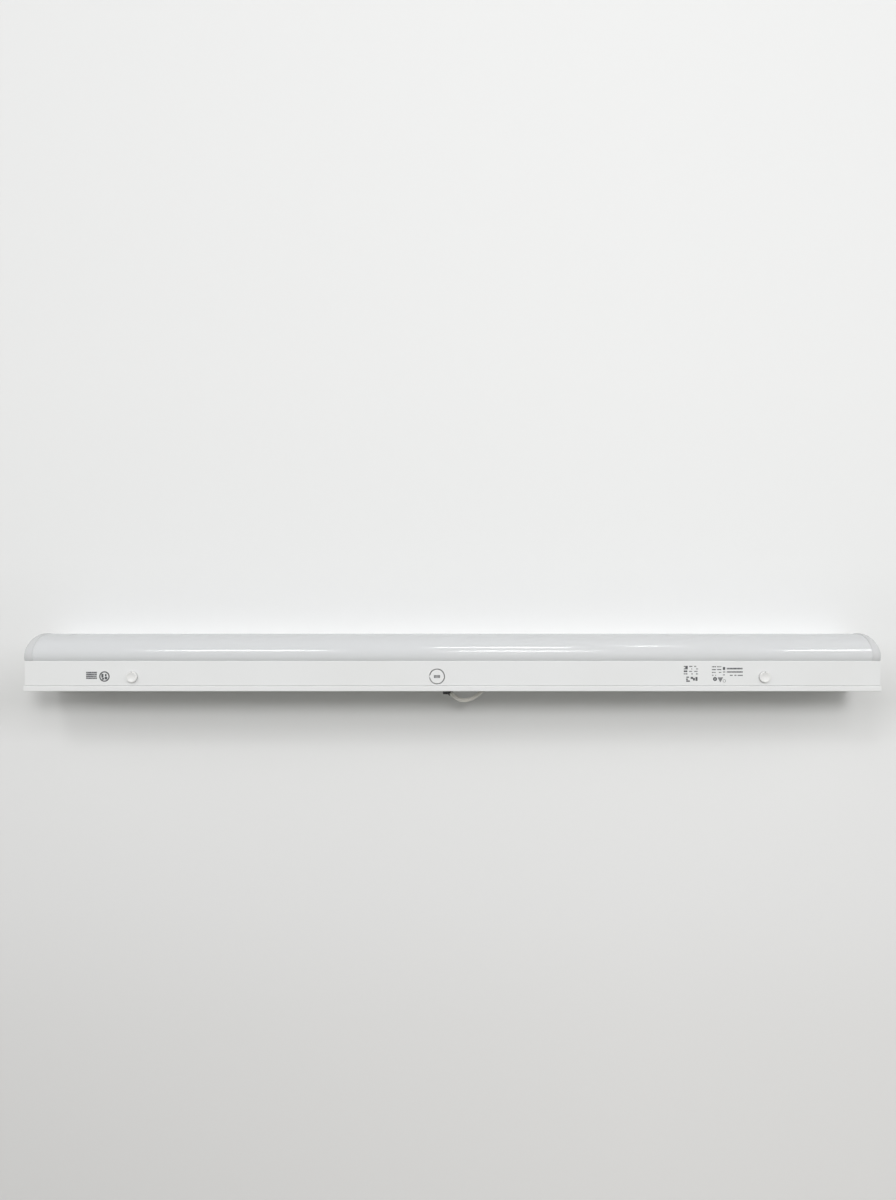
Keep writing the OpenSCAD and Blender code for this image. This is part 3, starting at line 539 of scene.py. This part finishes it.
def supply_cord():
    """The factory lead: out of the strain relief, round a loop and back in through the bushing."""
    data = bpy.data.curves.new("supply_cord_flex", "CURVE")
    data.dimensions = "3D"
    data.bevel_depth = CORD_DIAMETER / 2
    data.bevel_resolution = 8
    data.resolution_u = 12
    data.use_fill_caps = True
    spline = data.splines.new("NURBS")
    spline.points.add(len(CORD_ROUTE) - 1)
    for point, place in zip(spline.points, CORD_ROUTE):
        point.co = (*(Vector(place) * MM), 1)
    spline.order_u = 4
    spline.use_endpoint_u = True
    piece = bpy.data.objects.new("supply_cord_flex", data)
    scene.collection.objects.link(piece)
    data.materials.append(cord_jacket("cord_jacket"))
    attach(piece, "root")
    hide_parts("supply_cord")


def cord_tail():
    """Three stripped conductors at the tucked end of the cord."""
    end = Vector(CORD_ROUTE[-1])
    mesh = bmesh.new()
    for material, k in enumerate((-1, 0, 1)):
        route = [end + Vector((x, k * apart, z)) for x, apart, z in CORE_STEPS]
        add_tube(mesh, smooth_path(route), CORE_RADIUS, material)
    make_piece(
        "cord_tail_cores", mesh, "root", [BLACK_LEAD, GREEN_LEAD, WHITE_LEAD],
        replaces=["cord_tail_leads"],
    )


def supply_leads():
    """Hot and neutral from the strain relief to the disconnect plug, and ground to its lug."""
    mesh = bmesh.new()
    for k in (0, 1):
        x, y = -6.7 - 1.4 * k, 18.2 + 2.4 * k
        route = [
            (x, y, 5), (x, y, 9), (-4, 18.5 + 3.5 * k, 13), (6, 24 + 4 * k, 14),
            (24, 28 + 4 * k, 8), (30, 28 + 4 * k, 5.3), (34, 28 + 4 * k, 5.3),
        ]
        add_tube(mesh, smooth_path(route), SUPPLY_LEAD_RADIUS, k)
    ground_route = [
        (-9.6, 18.2, 5), (-9.6, 18.2, 9), (-14, 20, 12), (-20, 25, 9), (-23, 28, 3.2),
        (-24.5, 28, 2.2), (-29, 28, 2.2),
    ]
    add_tube(mesh, smooth_path(ground_route), GROUND_LEAD_RADIUS, 2)
    make_piece(
        "supply_lead_set", mesh, "root", [BLACK_LEAD, WHITE_LEAD, GREEN_LEAD],
        replaces=["supply_leads"],
    )


def driver_leads():
    """From the disconnect socket to the driver's input terminal."""
    mesh = bmesh.new()
    for k in (0, 1):
        socket_y, terminal_y = 28 + 4 * k, 5 + 4 * k
        route = [
            (78, socket_y, 5.3), (83, socket_y, 5.3), (92, (socket_y + terminal_y) / 2 + 2, 10.2),
            (104, terminal_y, 11.7), (112, terminal_y, 11.7),
        ]
        add_tube(mesh, smooth_path(route), SUPPLY_LEAD_RADIUS, k)
    make_piece(
        "driver_lead_pair", mesh, "root", [BLACK_LEAD, WHITE_LEAD],
        replaces=["driver_leads"],
    )


def output_leads():
    """From the driver up through the tray's grommet to a board."""
    mesh = bmesh.new()
    for material, k in enumerate((-1, 1)):
        route = [
            (348, 7 + 2 * k, 11.7), (358, 7 + 2 * k, 11.7), (374, 17 + 2 * k, 14.2),
            (384 - 2 * k, 23, 28.4), (384 - 2 * k, 23, 38.2), (384 - 1.4 * k, 18, 42.4),
            (384 - 1.4 * k, 11, 40.5), (384 - 1.4 * k, 8, 40.5),
        ]
        add_tube(mesh, smooth_path(route, steps=10), OUTPUT_LEAD_RADIUS, material)
    piece = make_piece(
        "output_lead_pair", mesh, None, [BLACK_LEAD, RED_LEAD],
        replaces=["output_leads"],
    )
    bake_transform(piece)


def link_leads():
    """A short jumper between the two boards' connectors."""
    mesh = bmesh.new()
    board_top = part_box("led_board_left")[1].z / MM
    for material, k in enumerate((-1, 1)):
        y = 5 + 1.4 * k
        half_route = [(9.5, 1.7), (7.5, 1.7), (4, 2.4)]
        route = [(-x, y, board_top + rise) for x, rise in half_route]
        route += [(0, y, board_top + 2.8)]
        route += [(x, y, board_top + rise) for x, rise in reversed(half_route)]
        add_tube(mesh, smooth_path(route), LINK_LEAD_RADIUS, material)
    make_piece(
        "link_lead_pair", mesh, "tray", [BLACK_LEAD, RED_LEAD],
        replaces=["link_leads"],
    )


cord_tail()
supply_cord()
supply_leads()
driver_leads()
output_leads()
link_leads()


# ---------------------------------------------------------------- diffuser and end caps

HALF_WIDTH = -side_low.y
TRAY_TOP = side_high.z
LENS_TOP = lens_high.z
FOOT_IN = 1.8 * MM  # the leg stands this far inside the tray's side
TUCK_HEIGHT = 7 * MM  # and curves out to it over this height
LENS_WALL = 1.8 * MM
LENS_RIB, LENS_RIB_WALL = 5 * MM, 1.2 * MM
CAP_ROUND = 9.5 * MM
CAP_SKIN = 0.7 * MM  # the skirt stands this far proud of the diffuser
CAP_FIT = 0.05 * MM  # gap between skirt and diffuser
CAP_LEAD_IN = 0.2 * MM
CAP_BOTTOM = TRAY_TOP + 0.1 * MM
CAP_STOP = lens_high.x + 0.3 * MM  # the cap is solid from here outwards
NOSE_STEPS = 24
SIDE_SHARE = 0.4  # the nose's sides draw in by this share of what its crown does


def lens_side(inset, bottom, arc_steps=96, foot_steps=10):
    """Right half of the diffuser's section in (y, z), from the leg's bottom to the crown."""
    middle = TRAY_TOP + TUCK_HEIGHT
    rise = LENS_TOP - middle
    points = [(HALF_WIDTH - FOOT_IN - inset, bottom)]
    for i in range(foot_steps + 1):
        s = 1 - i / foot_steps
        points.append((HALF_WIDTH - inset - FOOT_IN * s * s, middle - TUCK_HEIGHT * s))
    for i in range(1, arc_steps + 1):
        turn = math.pi / 2 * i / arc_steps
        y = (HALF_WIDTH - inset) * math.cos(turn)
        points.append((y, middle + (rise - inset) * math.sin(turn)))
    return points


def both_sides(side):
    return side + [(-y, z) for y, z in reversed(side[:-1])]


def diffuser():
    """One extruded shell with an inward rib along the foot of each leg."""
    foot = lens_low.z
    rib_top = foot + LENS_RIB_WALL
    tip = HALF_WIDTH - FOOT_IN - LENS_WALL - LENS_RIB
    outside = both_sides(lens_side(0, foot))
    inside = both_sides([(tip, foot), (tip, rib_top)] + lens_side(LENS_WALL, rib_top))
    outline = outside + inside[::-1]
    mesh = bmesh.new()
    spans = 24
    rings = []
    for i in range(spans + 1):
        x = lens_low.x + (lens_high.x - lens_low.x) * i / spans
        rings.append([mesh.verts.new((x, y, z)) for y, z in outline])
    for low, high in zip(rings, rings[1:]):
        join_rings(mesh, low, high)
    # Each end is a strip between the outer and the inner line, closed by the two ribs
    count = len(outside)
    rib_points = (len(inside) - count) // 2
    for ring in (rings[0], rings[-1]):
        outer, inner = ring[:count], ring[count:][::-1]
        mesh.faces.new([outer[0]] + inner[: rib_points + 1][::-1])
        mesh.faces.new([outer[-1]] + inner[len(inner) - rib_points - 1:])
        join_rings(mesh, outer, inner[rib_points:-rib_points], closed=False)
    make_piece("diffuser_shell", mesh, "tray", [LENS], 30, ["lens"])


def cap_section(inset, drawn_in=0.0):
    """The cap's section in (y, z), open at its bottom. Drawn in, it shrinks towards its foot."""
    wide, tall = HALF_WIDTH + CAP_SKIN, LENS_TOP + CAP_SKIN - CAP_BOTTOM
    narrowing = (wide - SIDE_SHARE * drawn_in) / wide
    lowering = (tall - drawn_in) / tall
    return [
        (y * narrowing, CAP_BOTTOM + (max(z, CAP_BOTTOM) - CAP_BOTTOM) * lowering)
        for y, z in both_sides(lens_side(inset, CAP_BOTTOM, arc_steps=72))
    ]


def end_cap(name, node, side):
    """A skirt over the diffuser's end and a nose that rounds over, most of all at the crown."""
    low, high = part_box(node)
    outer_x = high.x if side > 0 else -low.x
    skirt_x = low.x if side > 0 else -high.x
    mesh = bmesh.new()

    def ring(x, points):
        return [mesh.verts.new((side * x, y, z)) for y, z in points]

    def join(a, b):
        join_rings(mesh, a, b, closed=False)

    inner_edge = ring(skirt_x, cap_section(-CAP_FIT))
    lead_in = ring(skirt_x, cap_section(-CAP_SKIN + CAP_LEAD_IN))
    skirt = ring(skirt_x + CAP_LEAD_IN, cap_section(-CAP_SKIN))
    inner_end = ring(CAP_STOP, cap_section(-CAP_FIT))
    join(inner_edge, lead_in)
    join(lead_in, skirt)
    join(inner_edge, inner_end)
    mesh.faces.new(inner_end)
    # Rings that draw in towards a flat end face
    nose = []
    for i in range(NOSE_STEPS + 1):
        turn = math.pi / 2 * i / NOSE_STEPS
        x = outer_x - CAP_ROUND * (1 - math.sin(turn))
        nose.append(ring(x, cap_section(-CAP_SKIN, CAP_ROUND * (1 - math.cos(turn)))))
    join(skirt, nose[0])
    for a, b in zip(nose, nose[1:]):
        join(a, b)
    mesh.faces.new(nose[-1])
    # The bottom: two strips under the skirt's edges, then one sheet under the solid end
    for k in (0, -1):
        mesh.faces.new((inner_edge[k], lead_in[k], skirt[k], nose[0][k], inner_end[k]))
    one_side = [line[-1] for line in nose]
    other_side = [line[0] for line in reversed(nose)]
    mesh.faces.new([inner_end[0], inner_end[-1]] + one_side + other_side)
    bmesh.ops.remove_doubles(mesh, verts=mesh.verts, dist=1e-7)
    make_piece(name, mesh, "tray", [CAP], 40, [node])


diffuser()
end_cap("end_cap_shell_left", "end_cap_left", -1)
end_cap("end_cap_shell_right", "end_cap_right", 1)


# ---------------------------------------------------------------- printed marks
# Places are in millimetres along X and Z. Patches are (low x, high x, low z, high z)

INK_FRONT = side_low.y - 0.03 * MM
INK_BACK = side_low.y + 0.01 * MM
ROUND_MARK = (-495.9, 21.0)
ROUND_MARK_BLOBS = [
    (-500.3, -497.2, 19.4, 24.8), (-499.4, -496.2, 16.5, 19.0),
    (-495.3, -492.8, 21.2, 24.6), (-495.6, -491.9, 16.8, 20.6),
]
FIRST_TABLE_COLUMNS = [(329.5, 5.6), (337.4, 4.8), (344.5, 5.3)]  # low x, width
FIRST_TABLE_HEAD = (331.6, 335.2, 31.9, 36.1)
FIRST_TABLE_SYMBOLS = [
    (333.2, 336.8, 19.2, 20.9), (332.9, 335.2, 15.8, 18.2), (333.0, 338.2, 13.5, 15.4),
    (339.4, 342.8, 17.5, 20.5), (342.6, 345.4, 15.3, 18.9), (346.2, 349.1, 14.8, 20.3),
]
SECOND_TABLE_COLUMNS = [(369.7, 5.7), (377.2, 5.7)]
SECOND_TABLE_HEAD = (385.2, 388.5, 30.4, 34.5)


def add_patch(mesh, x0, x1, z0, z1):
    add_box(mesh, (x0 * MM, INK_FRONT, z0 * MM), (x1 * MM, INK_BACK, z1 * MM))


def add_dashes(mesh, rng, x0, x1, z, height, fill=0.85, gap=0.5):
    """One line of short dashes of uneven length, as small print looks from afar."""
    x = x0
    while x < x1 - 0.5:
        end = min(x + rng.uniform(0.7, 2.4), x1)
        if rng.random() < fill:
            add_patch(mesh, x, end, z, z + height)
        x = end + rng.uniform(0.6 * gap, 1.3 * gap)


def add_ring(mesh, x, z, outer, inner, turns=48):
    """A printed ring round (x, z), given its outer and inner radius."""
    angles = [2 * math.pi * i / turns for i in range(turns)]

    def circle(radius, y):
        return [
            mesh.verts.new(((x + radius * math.cos(a)) * MM, y, (z + radius * math.sin(a)) * MM))
            for a in angles
        ]

    section = [
        circle(inner, INK_FRONT), circle(outer, INK_FRONT),
        circle(outer, INK_BACK), circle(inner, INK_BACK),
    ]
    for a, b in zip(section, section[1:] + section[:1]):
        join_rings(mesh, a, b)


def left_print(mesh, rng):
    """A dense block of small print, and a round mark with four blobs in it."""
    for row in range(4):
        add_dashes(mesh, rng, -522, -506.6, 25.6 - 2.7 * row, 2.1, fill=1.0, gap=0.2)
    add_ring(mesh, *ROUND_MARK, outer=7.5, inner=5.7)
    for blob in ROUND_MARK_BLOBS:
        add_patch(mesh, *blob)


def knockout_print(mesh):
    """A few bars in the middle of the knockout."""
    for bar in range(5):
        add_patch(mesh, -26.3 + 1.8 * bar, -25.0 + 1.8 * bar, 18.9, 23.1)


def first_table(mesh, rng):
    """Four rows of settings under a square, with symbols below."""
    for x, width in FIRST_TABLE_COLUMNS:
        for row in range(4):
            add_dashes(mesh, rng, x, x + width, 34.6 - 3.55 * row, 1.5)
    add_patch(mesh, *FIRST_TABLE_HEAD)
    add_dashes(mesh, rng, 329.5, 334.9, 27.4, 2.2, fill=1.0, gap=0.3)
    for symbol in FIRST_TABLE_SYMBOLS:
        add_patch(mesh, *symbol)


def second_table(mesh, rng):
    """Four rows that fade downwards, three lines of text, and a dot, a wedge and a ring below."""
    for x, width in SECOND_TABLE_COLUMNS:
        for row in range(4):
            add_dashes(
                mesh, rng, x, x + width, 34.1 - 3.95 * row, 1.6 - 0.15 * row, 0.95 - 0.1 * row, gap=0.4
            )
    add_patch(mesh, *SECOND_TABLE_HEAD)
    for row in range(2):
        add_dashes(mesh, rng, 385.4, 388.6, 26.6 - 4.1 * row, 1.6, fill=0.9)
    for row, fill in enumerate((1.0, 0.97, 0.6)):
        add_dashes(mesh, rng, 390.8, 413.5, 31.1 - 4.6 * row, 2.3 - 0.4 * row, fill, gap=0.25)
    add_ring(mesh, 374.0, 17.4, outer=2.9, inner=0.8)
    for row in range(5):
        half = 3.7 - 0.75 * row
        add_patch(mesh, 381.6 - half, 381.6 + half, 18.6 - 1.35 * row, 19.7 - 1.35 * row)
    add_ring(mesh, 387.3, 14.7, outer=2.1, inner=1.6)


def printed_marks():
    """Generic pad print: blocks of dashes, dots, bars and rings that say nothing."""
    rng = random.Random(7)
    mesh = bmesh.new()
    left_print(mesh, rng)
    knockout_print(mesh)
    first_table(mesh, rng)
    second_table(mesh, rng)
    make_piece("printed_marks", mesh, "tray", [ink("print_ink")])


printed_marks()


# ---------------------------------------------------------------- stage

WALL_GAP = 2.2 * MM
WALL_HALF = 9.0
WALL_TONES_FROM, WALL_TONES_TO = -0.85, 1.0  # heights of the first and the last tone
# The paint's pale grey by height, with painted shade: darker downwards, and a painted shadow band from
# 0.41 to 0.49, just under the batten.
WALL_TONE_AND_SHADE = [
    (0.0, (0.700, 0.694, 0.684)), (0.18, (0.728, 0.724, 0.717)), (0.28, (0.758, 0.757, 0.755)),
    (0.41, (0.783, 0.784, 0.782)), (0.445, (0.690, 0.692, 0.686)), (0.49, (0.758, 0.762, 0.760)),
    (0.56, (0.800, 0.805, 0.803)), (0.72, (0.814, 0.817, 0.816)), (1.0, (0.814, 0.817, 0.817)),
]
# Painted shade that darkens the wall towards the left, most towards the bottom.
LEFT_SHADE_FROM, LEFT_SHADE_TO = 0.30, -0.72  # places along X of none and of all of it
LEFT_SHADE = [(0.0, 0.24), (0.3, 0.13), (0.5, 0.07), (1.0, 0.06)]  # by height, as the tones


def wall_look():
    """Wall paint of pale grey, with painted shade: it deepens slowly downwards and to the left, and a
    painted shadow band lies just under the batten.
    It is see-through from behind, and lets light from behind reach what stands close to it, the
    batten's rear."""
    look = Look("wall_paint", (0.80, 0.80, 0.80), 0.85, Specular_IOR_Level=0.1)
    parts = look.node("ShaderNodeSeparateXYZ", {0: look.place}).outputs

    def along(value, none, full):
        """Rises from 0 to 1 while value goes from none to full."""
        return look.node("ShaderNodeMapRange", {0: value, 1: none, 2: full, 3: 0.0, 4: 1.0}).outputs[0]

    high = along(parts["Z"], WALL_TONES_FROM, WALL_TONES_TO)
    look.tint = look.ramp(high, WALL_TONE_AND_SHADE)
    left = along(parts["X"], LEFT_SHADE_FROM, LEFT_SHADE_TO)
    # Painted shade: the wall darkens towards the left, where less light falls.
    look.overlay(look.calc("MULTIPLY", left, look.ramp(high, LEFT_SHADE)), (0.40, 0.40, 0.40))
    look.grain(size=0.004, depth=0.05 * MM, detail=3.0)
    behind = look.node("ShaderNodeNewGeometry").outputs["Backfacing"]
    path = look.node("ShaderNodeLightPath").outputs
    near = look.calc("LESS_THAN", path["Ray Length"], HALF_WIDTH)
    near_light = look.calc("MULTIPLY", path["Is Shadow Ray"], near)
    look.mix_in(look.calc("MAXIMUM", behind, near_light), "ShaderNodeBsdfTransparent")
    return look.material


def wall():
    y = cad_box[1][1] + WALL_GAP
    mesh = bmesh.new()
    corners = [(-1, -1), (1, -1), (1, 1), (-1, 1)]
    mesh.faces.new([mesh.verts.new((x * WALL_HALF, y, z * WALL_HALF)) for x, z in corners])
    data = bpy.data.meshes.new("wall")
    mesh.to_mesh(data)
    mesh.free()
    piece = bpy.data.objects.new("wall", data)
    scene.collection.objects.link(piece)
    data.materials.append(wall_look())


# Radiance of the room by height above the horizon, each from its angle in degrees up to the next
SKY_BANDS = [(-90, 0.425), (-20, 0.04), (5, 1.43), (25, 0.966), (50, 0.166)]
FLOOR_BAND_BLUE = 0.93  # light from the floor is a little warmer
ROOM_SEEN = (0.80, 0.80, 0.80, 1)


def sky():
    """Soft room light by height above the horizon. Camera and mirror rays see a plain pale room."""
    world = bpy.data.worlds.new("room")
    scene.world = world
    world.use_nodes = True
    room = Nodes(world.node_tree)
    brightest = max(light for _, light in SKY_BANDS)
    stops = []
    for degrees, light in SKY_BANDS:
        share = light / brightest
        blue = share * (FLOOR_BAND_BLUE if degrees == -90 else 1)
        stops.append(((math.sin(math.radians(degrees)) + 1) / 2, (share, share, blue)))
    place = room.node("ShaderNodeTexCoord").outputs["Generated"]
    parts = room.node("ShaderNodeSeparateXYZ", {0: place}).outputs
    high = room.node("ShaderNodeMapRange", {0: parts["Z"], 1: -1.0}).outputs[0]
    bands = room.ramp(high, stops, "CONSTANT")
    lit = room.feed(room.nodes["Background"], {"Color": bands, "Strength": brightest})
    seen = room.node("ShaderNodeBackground", {"Color": ROOM_SEEN})
    rays = room.node("ShaderNodeLightPath").outputs
    direct = room.calc("MAXIMUM", rays["Is Camera Ray"], rays["Is Glossy Ray"])
    plain = room.calc("MAXIMUM", direct, rays["Is Transmission Ray"])
    mixed = room.node("ShaderNodeMixShader", {0: plain, 1: lit.outputs[0], 2: seen.outputs[0]})
    room.feed(room.nodes["World Output"], {"Surface": mixed.outputs[0]})


def add_lamp(name, target, away, reach, size_x, size_y, radiance):
    """A rectangle that faces a point, lying level, with its light given as radiance."""
    data = bpy.data.lights.new(name, "AREA")
    data.shape = "RECTANGLE"
    data.size = size_x
    data.size_y = size_y
    data.energy = radiance * math.pi * size_x * size_y
    lamp = bpy.data.objects.new(name, data)
    lamp.location = target + away * reach
    lamp.rotation_euler = away.to_track_quat("Z", "Y").to_euler()
    scene.collection.objects.link(lamp)
    return lamp


# Broad soft panels: azimuth to the right of the front, height angle, width and height as angles,
# radiance
PANEL_REACH = 5.0
PANELS = [
    ("window_low", 9, 17, 14, 10, 22.5),
    ("window_mid", 9, 31, 14, 6, 6.8),
    ("window_high", -17, 37, 14, 6, 14.2),
]


def soft_panels():
    """The same panels stand in front and behind, so that the rear is lit like the front."""
    target = Vector((0, 0, side_high.z))
    for name, azimuth, angle, *spans, radiance in PANELS:
        side, up = math.radians(azimuth), math.radians(angle)
        size_x, size_y = (2 * PANEL_REACH * math.tan(math.radians(span / 2)) for span in spans)
        for label, front in (("front", -1), ("rear", 1)):
            away = Vector((
                math.sin(side) * math.cos(up), front * math.cos(side) * math.cos(up), math.sin(up)
            ))
            panel = add_lamp(name + "_" + label, target, away, PANEL_REACH, size_x, size_y, radiance)
            panel.visible_glossy = False


# Ceiling fittings that only gleam in the diffuser:
# middle along X, length, height angle, depth, radiance
LAMP_REACH = 2.2
LAMP_AIM_DROP = 20 * MM  # below the diffuser's crown
LAMPS = [
    ("ceiling_light_a", -0.79, 0.65, 49, 0.16, 30.0),
    ("ceiling_light_b", 0.20, 0.50, 74, 0.16, 25.0),
    ("ceiling_light_c", 0.285, 0.49, 44, 0.16, 38.0),
    ("ceiling_light_d", 0.735, 0.16, 84, 0.16, 22.0),
    ("ceiling_light_e", 1.42, 0.33, 51, 0.18, 36.0),
]


def ceiling_lights():
    target = Vector((0, side_low.y, LENS_TOP - LAMP_AIM_DROP))
    for name, x, length, angle, depth, radiance in LAMPS:
        turn = math.radians(angle)
        away = Vector((0, -math.cos(turn), math.sin(turn)))
        lamp = add_lamp(name, target, away, LAMP_REACH, length, depth, radiance)
        lamp.location.x = x
        lamp.visible_diffuse = False


wall()
sky()
soft_panels()
ceiling_lights()

scene.view_settings.view_transform = "Standard"
